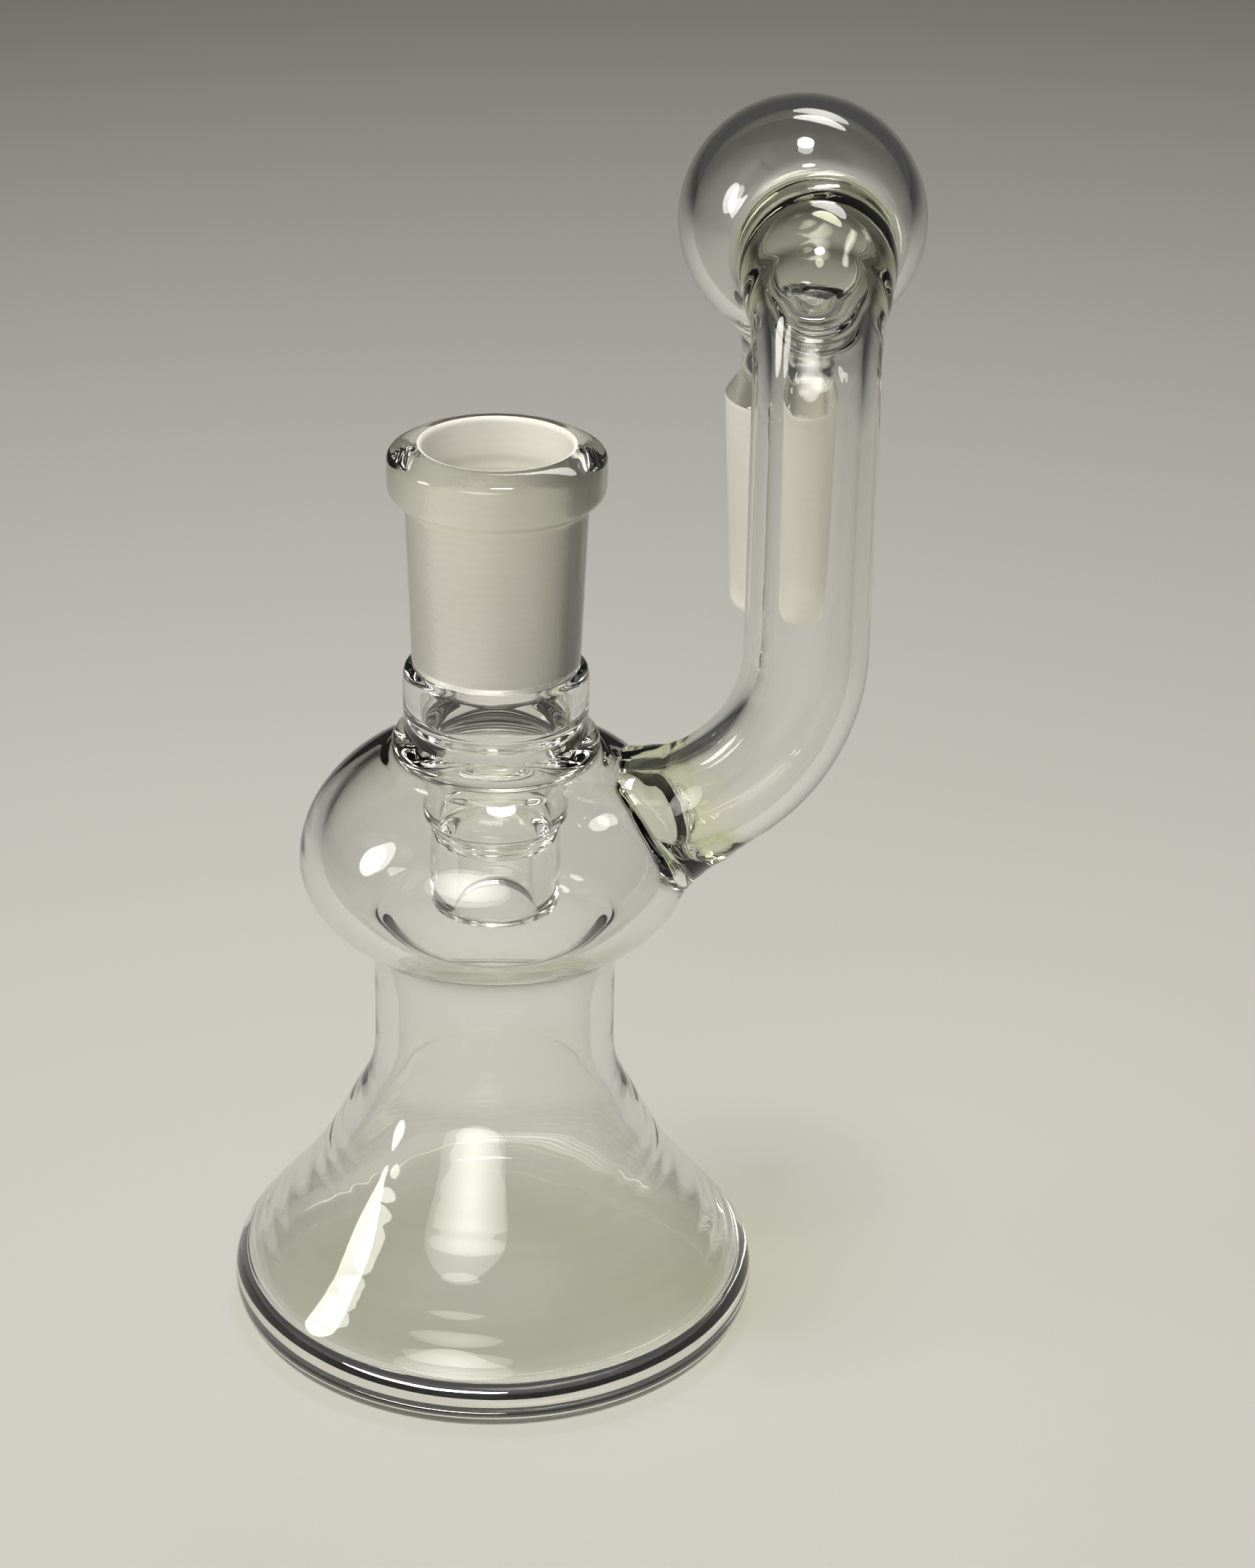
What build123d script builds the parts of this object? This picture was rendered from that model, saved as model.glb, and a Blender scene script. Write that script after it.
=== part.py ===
from build123d import *
import os
from math import cos, radians, sin, sqrt, tan

# One-piece lampworked glass trap, 122 mm high.
# A ground socket opens into a squat bulb through a drop tube, the bulb drains into a flared
# flask, and a side arm climbs from the bulb to a round splash bulb with a ground cone under it.
# The glass is one fused body. Each block below is one section that the glassblower cut, shaped
# or bought before sealing it to its neighbour, and sections meet face to face.
# Millimetres, +Z up, origin at the centre of the foot's underside. The arm climbs on the +X side.

os.makedirs("parts", exist_ok=True)

# ---------------------------------------------------------------- driving dimensions

# Foot and flask
foot_radius = 26.8            # widest point, at the top of the foot's edge
foot_contact_radius = 24.8    # edge of the flat face that stands on the bench
foot_thickness = 4.0
foot_edge_round = 0.6
flask_wall = 2.3
flask_heel_round = 1.5        # inside corner between flask wall and foot
flask_heel_inset = 0.45       # how far the wall has drawn in by the top of that round
flask_stations = ((25.2, 8.0, -0.62), (18.8, 16.0, -0.72), (13.8, 25.0, -0.38))  # radius, z, dr/dz
waist_radius = 12.1
waist_bottom_z = 32.0
waist_top_z = 38.0

# Squat bulb: two half ellipses that share their widest circle
bulb_radius = 19.5
bulb_centre_z = 51.0
bulb_rise = 14.2              # from the widest circle up to the ellipse's pole
bulb_drop = 10.9              # from the widest circle down to the ellipse's pole
bulb_wall = 1.65
bulb_bottom_z = 43.5          # lower seam, where the waist seal takes over
bulb_top_z = 61.0             # upper seam, where the neck takes over

# Neck: bead ring, collar, drop tube
neck_bead_radius = 10.3
neck_bead_section = 1.4       # radius of the bead's round section
neck_bead_z = 63.6
bead_bulb_drop = 0.5          # how far below its middle the bead runs into the bulb
collar_radius = 9.1
collar_bottom_z = 65.0
collar_top_z = 71.9
collar_shoulder = 1.0         # height of the round at the collar's top, outside
collar_inner_shoulder = 1.5   # and inside
collar_bore = 7.5
throat_bore = 5.9             # hole through the bead ring
throat_funnel = 2.6           # height over which the collar's bore narrows to the throat
crotch_depth = 0.9            # how far the space between bulb and drop tube rises into the neck
drop_upper_radius = 7.2
drop_lower_radius = 6.45
drop_step_z = 55.0
drop_end_z = 45.3
drop_upper_bore = 5.6
drop_lower_bore = 4.0
drop_edge_round = 0.7
drop_funnel = 3.0             # height over which the drop tube's bore narrows

# Ground joints: standard 14/23, 1 in 10 on diameter
joint_large_radius = 7.25
joint_length = 23.0
joint_taper = 0.05            # radius lost per millimetre of length
socket_top_z = 94.6
socket_body_top_radius = 8.9
socket_body_bottom_radius = 8.25
rim_bottom_z = 88.2
rim_radius = 10.6
rim_widest_low_z = 90.6
rim_widest_high_z = 93.0
rim_bevel_middle = (9.6, 94.1)    # radius, z: crown of the bevel above the widest band
rim_neck_middle = (9.5, 89.1)     # radius, z: hollow under the widest band
rim_crest_radius = 8.2            # outer edge of the flat crest
rim_mouth_radius = 7.7            # inner edge of the flat crest
rim_mouth_round = 0.6

# Side arm: 12 mm tube
arm_radius = 6.1
arm_bore = 4.35
arm_reach = 30.15             # from the flask's axis to the riser's axis
arm_heading = -5.7            # degrees from +X, so it leaves a little towards the front
arm_climb = 20.0              # degrees above level where it leaves the bulb
arm_bend_radius = 18.7
arm_corner_z = 61.7           # where the two straight centrelines would meet
arm_seal_share = 0.2          # part of the lower bend that the sealing flare takes
arm_bore_start = -0.3         # the flare's bore is cut from here, inside the bulb
# Flare that seals the arm to the bulb, as (share of the bend, outside radius, sag below the tube)
arm_seal_sizes = ((-0.22, 8.0, 1.2), (-0.06, 7.3, 0.7), (0.08, 6.45, 0.25),
                  (arm_seal_share, arm_radius, 0))

# Crook over to the splash bulb
crook_start_z = 97.4
crook_bend_radius = 12.0
crook_heading = 3.0           # degrees right of +Y
crook_flare = 7.75            # outer radius where it meets the splash bulb
crook_flare_bore = 5.7
# Tube size along the crook, as (share of the bend, outside radius, bore radius)
crook_sizes = ((0, arm_radius, arm_bore), (0.3, arm_radius, arm_bore), (0.5, 6.35, 4.5),
               (0.72, 7.15, 5.15), (1, crook_flare, crook_flare_bore))

# Splash bulb and cone
hang_x = 30.2
hang_y = 24.0
splash_radius = 12.4
splash_centre_z = 109.6
splash_wall = 1.5
hanger_radius = 5.7           # narrowest outside radius between splash bulb and cone
hanger_foot_radius = 6.8      # where the hanger meets the splash bulb
hanger_bore = 3.9
cone_shoulder_width = 0.8     # how far the bevel above the cone draws in
cone_top_z = 91.4             # large end of the ground cone
cone_shoulder = 1.2           # height of the bevels at both ends of the cone
cone_bore = 4.3
cone_tip_land = 0.5           # flat ring left at the cone's tip
cone_bore_funnel = 2.0        # height over which the cone's bore narrows to the hanger's

# ---------------------------------------------------------------- derived places

cone_bottom_z = cone_top_z - joint_length
joint_small_radius = joint_large_radius - joint_taper * joint_length
splash_centre = Vector(hang_x, hang_y, splash_centre_z)
hanger_top_z = splash_centre_z - sqrt(splash_radius ** 2 - hanger_foot_radius ** 2)
hang_plane = Plane(origin=(hang_x, hang_y, 0), x_dir=(1, 0, 0), z_dir=(0, -1, 0))
hang_axis = Axis((hang_x, hang_y, 0), (0, 0, 1))

# The arm's centreline lies in an upright plane through the flask's axis.
arm_plane = Plane(origin=(0, 0, 0), x_dir=(cos(radians(arm_heading)), sin(radians(arm_heading)), 0),
                  z_dir=(sin(radians(arm_heading)), -cos(radians(arm_heading)), 0))
arm_tangent = arm_bend_radius * tan(radians(90 - arm_climb) / 2)
arm_root = Vector(arm_reach - arm_tangent * cos(radians(arm_climb)),
                  arm_corner_z - arm_tangent * sin(radians(arm_climb)))
riser_bottom_z = arm_corner_z + arm_tangent
riser_x = arm_reach * cos(radians(arm_heading))
riser_y = arm_reach * sin(radians(arm_heading))
crook_plane = Plane(origin=(riser_x, riser_y, 0),
                    x_dir=(sin(radians(crook_heading)), cos(radians(crook_heading)), 0),
                    z_dir=(cos(radians(crook_heading)), -sin(radians(crook_heading)), 0))


def ellipse_radius(z, radius, rise, drop):
    """Radius of the bulb's surface at height z."""
    half = rise if z > bulb_centre_z else drop
    return radius * sqrt(1 - ((z - bulb_centre_z) / half) ** 2)


def bulb_outer(z):
    return ellipse_radius(z, bulb_radius, bulb_rise, bulb_drop)


def bulb_inner(z):
    return ellipse_radius(z, bulb_radius - bulb_wall, bulb_rise - bulb_wall, bulb_drop - bulb_wall)


def bulb_slope(z, radius, half):
    """Direction of the bulb's outline at height z, as (dr, dz) for one step up."""
    return (-((radius / half) ** 2) * (z - bulb_centre_z) / ellipse_radius(z, radius, half, half), 1)


def inside_of(radius, z, slope):
    """Point on the flask's inside, square through the wall from a point on its outside."""
    length = sqrt(1 + slope ** 2)
    return (radius - flask_wall / length, z + flask_wall * slope / length)


def ground_radius(z, top_z):
    """Radius of a 14/23 ground surface at height z, when its large end is at top_z."""
    return joint_large_radius - joint_taper * (top_z - z)


def arm_station(share):
    """Plane across the arm's lower bend: share 0 is at the bulb, share 1 at the riser."""
    turn = radians(arm_climb + share * (90 - arm_climb))
    start = radians(arm_climb)
    across = arm_root.X + arm_bend_radius * (sin(turn) - sin(start))
    up = arm_root.Y + arm_bend_radius * (cos(start) - cos(turn))
    return Plane(origin=arm_plane.from_local_coords((across, up, 0)),
                 z_dir=arm_plane.from_local_coords((cos(turn), sin(turn), 0)),
                 x_dir=arm_plane.z_dir)


def crook_station(share):
    """Plane across the crook: share 0 is at the riser's top, share 1 is where it lies level."""
    turn = radians(90 * share)
    across = crook_bend_radius * (1 - cos(turn))
    up = crook_start_z + crook_bend_radius * sin(turn)
    heading = crook_plane.x_dir * sin(turn) + crook_plane.y_dir * cos(turn)
    return Plane(origin=crook_plane.from_local_coords((across, up, 0)),
                 z_dir=heading, x_dir=crook_plane.z_dir)


# ---------------------------------------------------------------- foot and flask

with BuildPart() as foot_disc:
    with BuildSketch(Plane.XZ):
        with BuildLine():
            Line((0, 0), (foot_contact_radius, 0))
            TangentArc((foot_radius, foot_thickness), (foot_contact_radius, 0), tangent=(0, -1))
            Line((foot_radius, foot_thickness), (0, foot_thickness))
            Line((0, foot_thickness), (0, 0))
        make_face()
    revolve(axis=Axis.Z)
    fillet(foot_disc.faces().sort_by(Axis.Z)[0].edges(), foot_edge_round)
foot_disc.part.label = "foot_disc"
export_step(foot_disc.part, "parts/foot_disc.step")

with BuildPart() as base_flask:
    heel_top = (foot_radius - flask_wall - flask_heel_inset, foot_thickness + flask_heel_round)
    with BuildSketch(Plane.XZ):
        with BuildLine():
            outside = Spline((foot_radius, foot_thickness),
                             *[(radius, z) for radius, z, slope in flask_stations],
                             (waist_radius, waist_bottom_z), tangents=[(0, 1), (0, 1)])
            inside = Spline(heel_top, *[inside_of(*station) for station in flask_stations],
                            (waist_radius - flask_wall, waist_bottom_z),
                            tangents=[(-0.5, 1), (0, 1)])
            Line(outside @ 1, inside @ 1)
            heel = RadiusArc((heel_top[0] - flask_heel_round, foot_thickness), heel_top,
                             -flask_heel_round)
            Line(heel @ 0, outside @ 0)
        make_face()
    revolve(axis=Axis.Z)
base_flask.part.label = "base_flask"
export_step(base_flask.part, "parts/base_flask.step")

with BuildPart() as waist_tube:
    with BuildSketch(Plane.XY.offset(waist_bottom_z)):
        Circle(waist_radius)
        Circle(waist_radius - flask_wall, mode=Mode.SUBTRACT)
    extrude(amount=waist_top_z - waist_bottom_z)
waist_tube.part.label = "waist_tube"
export_step(waist_tube.part, "parts/waist_tube.step")

with BuildPart() as waist_seal:
    with BuildSketch(Plane.XZ):
        with BuildLine():
            outside = Spline((waist_radius, waist_top_z), (bulb_outer(bulb_bottom_z), bulb_bottom_z),
                             tangents=[(0, 1), bulb_slope(bulb_bottom_z, bulb_radius, bulb_drop)])
            inside = Spline((waist_radius - flask_wall, waist_top_z),
                            (bulb_inner(bulb_bottom_z), bulb_bottom_z),
                            tangents=[(0, 1), (1, 2)])
            Line(outside @ 0, inside @ 0)
            Line(outside @ 1, inside @ 1)
        make_face()
    revolve(axis=Axis.Z)
waist_seal.part.label = "waist_seal"
export_step(waist_seal.part, "parts/waist_seal.step")

# ---------------------------------------------------------------- squat bulb and neck

with BuildPart() as bulb_solid:
    with BuildSketch(Plane.XZ):
        with BuildLine():
            Line((0, bulb_centre_z - bulb_drop), (0, bulb_centre_z + bulb_rise))
            EllipticalCenterArc((0, bulb_centre_z), bulb_radius, bulb_rise, 0, arc_size=90)
            EllipticalCenterArc((0, bulb_centre_z), bulb_radius, bulb_drop, 270, arc_size=90)
        make_face()
    revolve(axis=Axis.Z)

with BuildPart() as bulb_shell:
    with BuildSketch(Plane.XZ):
        for wall, mode in ((0, Mode.ADD), (bulb_wall, Mode.SUBTRACT)):
            with BuildLine():
                Line((0, bulb_centre_z - bulb_drop + wall), (0, bulb_centre_z + bulb_rise - wall))
                EllipticalCenterArc((0, bulb_centre_z), bulb_radius - wall, bulb_rise - wall, 0,
                                    arc_size=90)
                EllipticalCenterArc((0, bulb_centre_z), bulb_radius - wall, bulb_drop - wall, 270,
                                    arc_size=90)
            make_face(mode=mode)
    revolve(axis=Axis.Z)
    split(bisect_by=Plane.XY.offset(bulb_bottom_z), keep=Keep.TOP)
    split(bisect_by=Plane.XY.offset(bulb_top_z), keep=Keep.BOTTOM)
    # Hole that the side arm was sealed over.
    with BuildSketch(arm_station(0)):
        Circle(arm_bore)
    extrude(amount=arm_bore, both=True, mode=Mode.SUBTRACT)
bulb_shell.part.label = "bulb_shell"
export_step(bulb_shell.part, "parts/bulb_shell.step")

with BuildPart() as neck_bead:
    bead_centre_radius = neck_bead_radius - neck_bead_section
    bead_foot_z = neck_bead_z - bead_bulb_drop
    bead_top = sqrt(neck_bead_section ** 2 - (collar_radius - bead_centre_radius) ** 2)
    crotch_radius = (bulb_inner(bulb_top_z) + drop_upper_radius) / 2
    with BuildSketch(Plane.XZ):
        with BuildLine():
            Polyline((throat_bore, collar_bottom_z), (throat_bore, bulb_top_z),
                     (drop_upper_radius, bulb_top_z))
            ThreePointArc((drop_upper_radius, bulb_top_z), (crotch_radius, bulb_top_z + crotch_depth),
                          (bulb_inner(bulb_top_z), bulb_top_z))
            Polyline((bulb_inner(bulb_top_z), bulb_top_z), (bulb_outer(bulb_top_z), bulb_top_z))
            Spline((bulb_outer(bulb_top_z), bulb_top_z), (bulb_outer(bead_foot_z), bead_foot_z),
                   tangents=[bulb_slope(bulb_top_z, bulb_radius, bulb_rise),
                             bulb_slope(bead_foot_z, bulb_radius, bulb_rise)])
            ThreePointArc((bulb_outer(bead_foot_z), bead_foot_z), (neck_bead_radius, neck_bead_z),
                          (collar_radius, neck_bead_z + bead_top))
            Polyline((collar_radius, neck_bead_z + bead_top), (collar_radius, collar_bottom_z),
                     (throat_bore, collar_bottom_z))
        make_face()
    revolve(axis=Axis.Z)
neck_bead.part.label = "neck_bead"
export_step(neck_bead.part, "parts/neck_bead.step")

with BuildPart() as neck_collar:
    funnel_top_z = collar_bottom_z + throat_funnel
    with BuildSketch(Plane.XZ):
        with BuildLine():
            Line((throat_bore, collar_bottom_z), (collar_radius, collar_bottom_z))
            Line((collar_radius, collar_bottom_z), (collar_radius, collar_top_z - collar_shoulder))
            Spline((collar_radius, collar_top_z - collar_shoulder),
                   (socket_body_bottom_radius, collar_top_z), tangents=[(0, 1), (-1, 0.4)])
            Line((socket_body_bottom_radius, collar_top_z), (joint_small_radius, collar_top_z))
            Spline((joint_small_radius, collar_top_z), (collar_bore, collar_top_z - collar_inner_shoulder),
                   tangents=[(1, -0.3), (0, -1)])
            Line((collar_bore, collar_top_z - collar_inner_shoulder), (collar_bore, funnel_top_z))
            Spline((collar_bore, funnel_top_z), (throat_bore, collar_bottom_z),
                   tangents=[(0, -1), (-0.4, -1)])
        make_face()
    revolve(axis=Axis.Z)
neck_collar.part.label = "neck_collar"
export_step(neck_collar.part, "parts/neck_collar.step")

with BuildPart() as drop_tube_upper:
    with BuildSketch(Plane.XZ):
        with BuildLine():
            Polyline((drop_upper_bore, drop_step_z), (drop_upper_bore, bulb_top_z),
                     (drop_upper_radius, bulb_top_z),
                     (drop_upper_radius, drop_step_z + drop_edge_round))
            Spline((drop_upper_radius, drop_step_z + drop_edge_round),
                   (drop_lower_radius, drop_step_z), tangents=[(0, -1), (-1, -0.2)])
            Line((drop_lower_radius, drop_step_z), (drop_upper_bore, drop_step_z))
        make_face()
    revolve(axis=Axis.Z)
drop_tube_upper.part.label = "drop_tube_upper"
export_step(drop_tube_upper.part, "parts/drop_tube_upper.step")

with BuildPart() as drop_tube_tip:
    with BuildSketch(Plane.XZ):
        with BuildLine():
            Line((drop_upper_bore, drop_step_z), (drop_lower_radius, drop_step_z))
            Line((drop_lower_radius, drop_step_z), (drop_lower_radius, drop_end_z))
            Line((drop_lower_radius, drop_end_z), (drop_lower_bore, drop_end_z))
            Line((drop_lower_bore, drop_end_z), (drop_lower_bore, drop_step_z - drop_funnel))
            Spline((drop_lower_bore, drop_step_z - drop_funnel), (drop_upper_bore, drop_step_z),
                   tangents=[(0, 1), (0, 1)])
        make_face()
    revolve(axis=Axis.Z)
    fillet(drop_tube_tip.edges().group_by(Axis.Z)[0], drop_edge_round)
drop_tube_tip.part.label = "drop_tube_tip"
export_step(drop_tube_tip.part, "parts/drop_tube_tip.step")

# ---------------------------------------------------------------- ground socket

with BuildPart() as ground_socket:
    with BuildSketch(Plane.XZ):
        with BuildLine():
            Polyline((ground_radius(collar_top_z, socket_top_z), collar_top_z),
                     (socket_body_bottom_radius, collar_top_z),
                     (socket_body_top_radius, rim_bottom_z),
                     (ground_radius(rim_bottom_z, socket_top_z), rim_bottom_z), close=True)
        make_face()
    revolve(axis=Axis.Z)
ground_socket.part.label = "ground_socket"
export_step(ground_socket.part, "parts/ground_socket.step")

with BuildPart() as socket_rim:
    mouth_z = socket_top_z - rim_mouth_round
    mouth = (ground_radius(mouth_z, socket_top_z), mouth_z)
    with BuildSketch(Plane.XZ):
        with BuildLine():
            Line((ground_radius(rim_bottom_z, socket_top_z), rim_bottom_z),
                 (socket_body_top_radius, rim_bottom_z))
            Spline((socket_body_top_radius, rim_bottom_z), rim_neck_middle,
                   (rim_radius, rim_widest_low_z), tangents=[(0.1, 1), (0, 1)])
            Line((rim_radius, rim_widest_low_z), (rim_radius, rim_widest_high_z))
            Spline((rim_radius, rim_widest_high_z), rim_bevel_middle, (rim_crest_radius, socket_top_z),
                   tangents=[(0, 1), (-1, 0.1)])
            Line((rim_crest_radius, socket_top_z), (rim_mouth_radius, socket_top_z))
            Spline((rim_mouth_radius, socket_top_z), mouth, tangents=[(-1, 0), (0, -1)])
            Line(mouth, (ground_radius(rim_bottom_z, socket_top_z), rim_bottom_z))
        make_face()
    revolve(axis=Axis.Z)
socket_rim.part.label = "socket_rim"
export_step(socket_rim.part, "parts/socket_rim.step")

# ---------------------------------------------------------------- side arm

with BuildPart() as arm_seal:
    # Flared end of the arm: it starts inside the bulb's wall and is cut to the bulb's surface.
    # The flare sags, so it spreads further below the tube than above it.
    for share, radius, sag in arm_seal_sizes:
        with BuildSketch(arm_station(share)):
            with Locations((0, sag)):
                Circle(radius)
    loft()
    add(bulb_solid.part, mode=Mode.SUBTRACT)
    for share in (arm_bore_start, 0, arm_seal_share):
        with BuildSketch(arm_station(share)):
            Circle(arm_bore)
    loft(mode=Mode.SUBTRACT)
arm_seal.part.label = "arm_seal"
export_step(arm_seal.part, "parts/arm_seal.step")

with BuildPart() as arm_elbow:
    with BuildLine(arm_plane):
        seal_end = arm_plane.to_local_coords(arm_station(arm_seal_share).origin)
        bend_end = arm_plane.to_local_coords(arm_station(1).origin)
        bend_middle = arm_plane.to_local_coords(arm_station((arm_seal_share + 1) / 2).origin)
        ThreePointArc((seal_end.X, seal_end.Y), (bend_middle.X, bend_middle.Y),
                      (bend_end.X, bend_end.Y))
    with BuildSketch(arm_station(arm_seal_share)):
        Circle(arm_radius)
        Circle(arm_bore, mode=Mode.SUBTRACT)
    sweep()
arm_elbow.part.label = "arm_elbow"
export_step(arm_elbow.part, "parts/arm_elbow.step")

with BuildPart() as arm_riser:
    with BuildSketch(Plane.XY.offset(riser_bottom_z)):
        with Locations((riser_x, riser_y)):
            Circle(arm_radius)
            Circle(arm_bore, mode=Mode.SUBTRACT)
    extrude(amount=crook_start_z - riser_bottom_z)
arm_riser.part.label = "arm_riser"
export_step(arm_riser.part, "parts/arm_riser.step")

# ---------------------------------------------------------------- splash bulb

with BuildPart() as splash_ball:
    with Locations(splash_centre):
        Sphere(splash_radius)

with BuildPart() as arm_crook:
    for share, radius, bore in crook_sizes:
        with BuildSketch(crook_station(share)):
            Circle(radius)
    loft()
    for share, radius, bore in crook_sizes:
        with BuildSketch(crook_station(share)):
            Circle(bore)
    loft(mode=Mode.SUBTRACT)
arm_crook.part.label = "arm_crook"
export_step(arm_crook.part, "parts/arm_crook.step")

with BuildPart() as crook_seal:
    with BuildSketch(crook_station(1)):
        Circle(crook_flare)
        Circle(crook_flare_bore, mode=Mode.SUBTRACT)
    extrude(amount=splash_radius)
    add(splash_ball.part, mode=Mode.SUBTRACT)
crook_seal.part.label = "crook_seal"
export_step(crook_seal.part, "parts/crook_seal.step")

with BuildPart() as splash_bulb:
    with Locations(splash_centre):
        Sphere(splash_radius)
        Sphere(splash_radius - splash_wall, mode=Mode.SUBTRACT)
    # Way in from the crook, and way out to the cone.
    with BuildSketch(crook_station(1)):
        Circle(crook_flare_bore)
    extrude(amount=splash_radius, mode=Mode.SUBTRACT)
    with BuildSketch(Plane.XY.offset(splash_centre_z)):
        with Locations((hang_x, hang_y)):
            Circle(hanger_bore)
    extrude(amount=-2 * splash_radius, mode=Mode.SUBTRACT)
splash_bulb.part.label = "splash_bulb"
export_step(splash_bulb.part, "parts/splash_bulb.step")

with BuildPart() as cone_hanger:
    with BuildSketch(hang_plane):
        with BuildLine():
            shoulder_z = cone_top_z + cone_shoulder
            shoulder_radius = joint_large_radius - cone_shoulder_width
            Line((hanger_bore, shoulder_z), (shoulder_radius, shoulder_z))
            Spline((shoulder_radius, shoulder_z), (hanger_radius, (shoulder_z + hanger_top_z) / 2),
                   (hanger_foot_radius, hanger_top_z), tangents=[(-1, 1), (1, 0.8)])
            Line((hanger_foot_radius, hanger_top_z), (hanger_foot_radius, splash_centre_z))
            Line((hanger_foot_radius, splash_centre_z), (hanger_bore, splash_centre_z))
            Line((hanger_bore, splash_centre_z), (hanger_bore, shoulder_z))
        make_face()
    revolve(axis=hang_axis)
    add(splash_ball.part, mode=Mode.SUBTRACT)
cone_hanger.part.label = "cone_hanger"
export_step(cone_hanger.part, "parts/cone_hanger.step")

with BuildPart() as ground_cone:
    with BuildSketch(hang_plane):
        with BuildLine():
            Line((hanger_bore, shoulder_z), (shoulder_radius, shoulder_z))
            Line((shoulder_radius, shoulder_z), (joint_large_radius, cone_top_z))
            Line((joint_large_radius, cone_top_z),
                 (ground_radius(cone_bottom_z + cone_shoulder, cone_top_z),
                  cone_bottom_z + cone_shoulder))
            Spline((ground_radius(cone_bottom_z + cone_shoulder, cone_top_z),
                    cone_bottom_z + cone_shoulder), (cone_bore + cone_tip_land, cone_bottom_z),
                   tangents=[(0, -1), (-1, -0.2)])
            Line((cone_bore + cone_tip_land, cone_bottom_z), (cone_bore, cone_bottom_z))
            Line((cone_bore, cone_bottom_z), (cone_bore, cone_top_z - cone_bore_funnel))
            Spline((cone_bore, cone_top_z - cone_bore_funnel), (hanger_bore, shoulder_z),
                   tangents=[(0, 1), (0, 1)])
        make_face()
    revolve(axis=hang_axis)
ground_cone.part.label = "ground_cone"
export_step(ground_cone.part, "parts/ground_cone.step")
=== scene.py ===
# %% [markdown]
# # A lampworked glass trap
# The object is one fused piece of clear glass: a round foot, a flared flask, a squat bulb with a
# drop tube inside it, a ground socket on top, and a side arm that climbs to a small splash bulb
# with a ground cone hanging under it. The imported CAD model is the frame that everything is
# measured from, so the first cell loads it and keeps its box.

# %% Load the frame
from math import cos, pi, radians, sin, sqrt

import bmesh
import bpy
import numpy as np
from mathutils import Matrix, Vector, noise
from mathutils.kdtree import KDTree


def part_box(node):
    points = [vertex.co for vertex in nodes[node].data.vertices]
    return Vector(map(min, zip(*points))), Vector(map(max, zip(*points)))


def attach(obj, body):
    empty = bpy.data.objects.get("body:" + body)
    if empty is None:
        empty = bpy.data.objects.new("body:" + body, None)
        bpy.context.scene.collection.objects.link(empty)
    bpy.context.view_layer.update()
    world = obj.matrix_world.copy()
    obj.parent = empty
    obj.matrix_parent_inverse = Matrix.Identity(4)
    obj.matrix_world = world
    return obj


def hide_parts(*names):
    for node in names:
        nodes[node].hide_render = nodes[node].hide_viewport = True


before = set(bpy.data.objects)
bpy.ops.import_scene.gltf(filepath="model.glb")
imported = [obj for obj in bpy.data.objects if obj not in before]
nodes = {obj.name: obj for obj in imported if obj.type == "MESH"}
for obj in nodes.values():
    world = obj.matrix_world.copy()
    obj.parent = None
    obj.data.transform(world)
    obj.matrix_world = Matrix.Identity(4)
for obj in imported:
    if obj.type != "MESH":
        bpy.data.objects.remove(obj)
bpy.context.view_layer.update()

MM = 0.001

# %% [markdown]
# ## Camera
# A long lens a little above the glass and looking down on it. A turn, a tilt and a slight roll
# are kept as three angles, because they say more to a reader than a matrix does.

# %% Camera
LENS, SENSOR = 94.24, 36
CAMERA_AT = (0, -0.36826, 0.23010)
camera_data = bpy.data.cameras.new("camera")
camera_data.lens, camera_data.sensor_width = LENS, SENSOR
camera = bpy.data.objects.new("camera", camera_data)
bpy.context.scene.collection.objects.link(camera)
turn, tilt_down, roll = radians(2.027), radians(24.924), radians(1.108)
camera.matrix_world = (
    Matrix.Translation(CAMERA_AT)
    @ Matrix.Rotation(-turn, 4, "Z")
    @ Matrix.Rotation(pi / 2 - tilt_down, 4, "X")
    @ Matrix.Rotation(roll, 4, "Z")
)
bpy.context.scene.camera = camera
print("camera stands at", [round(x, 3) for x in camera.location])

# %% [markdown]
# ## Sections
# Most of the glass was turned in a lathe, so its shape is one outline swept round an axis. The
# CAD mesh has points exactly on that outline, in the half-plane where the turning starts. Their
# normals say which wall they are on: outward is the outside, inward is the bore.

# %% Read the walls of a turned CAD node
ON_PLANE = 1e-6
FLAT_ON = 0.999
SAME_TO = 7


def walls(node, axis=(0.0, 0.0)):
    """The outside and the bore of a turned node, each a list of (radius, height), bottom up."""
    mesh = nodes[node].data
    outside, bore = set(), set()
    for corner, normal in zip(mesh.loops, mesh.corner_normals):
        co = mesh.vertices[corner.vertex_index].co
        radius = co.x - axis[0]
        if abs(co.y - axis[1]) > ON_PLANE or radius < 0 or abs(normal.vector.z) > FLAT_ON:
            continue
        side = outside if normal.vector.x > 0 else bore
        side.add((round(radius, SAME_TO), round(co.z, SAME_TO)))
    return [sorted(side, key=lambda point: (point[1], point[0])) for side in (outside, bore)]


foot_outside, _ = walls("foot_disc")
print("the foot's edge has", len(foot_outside), "points, and is widest at",
      round(foot_outside[-1][0] / MM, 2), "mm")

# %% [markdown]
# The CAD's points are close together on a tight curve and far apart on a gentle one. Glass shows
# every facet as a line of light, so each wall is drawn again in even short steps, on a smooth
# cubic through the same points.

# %% Redraw a wall in even steps
STEP = 0.45 * MM


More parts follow.
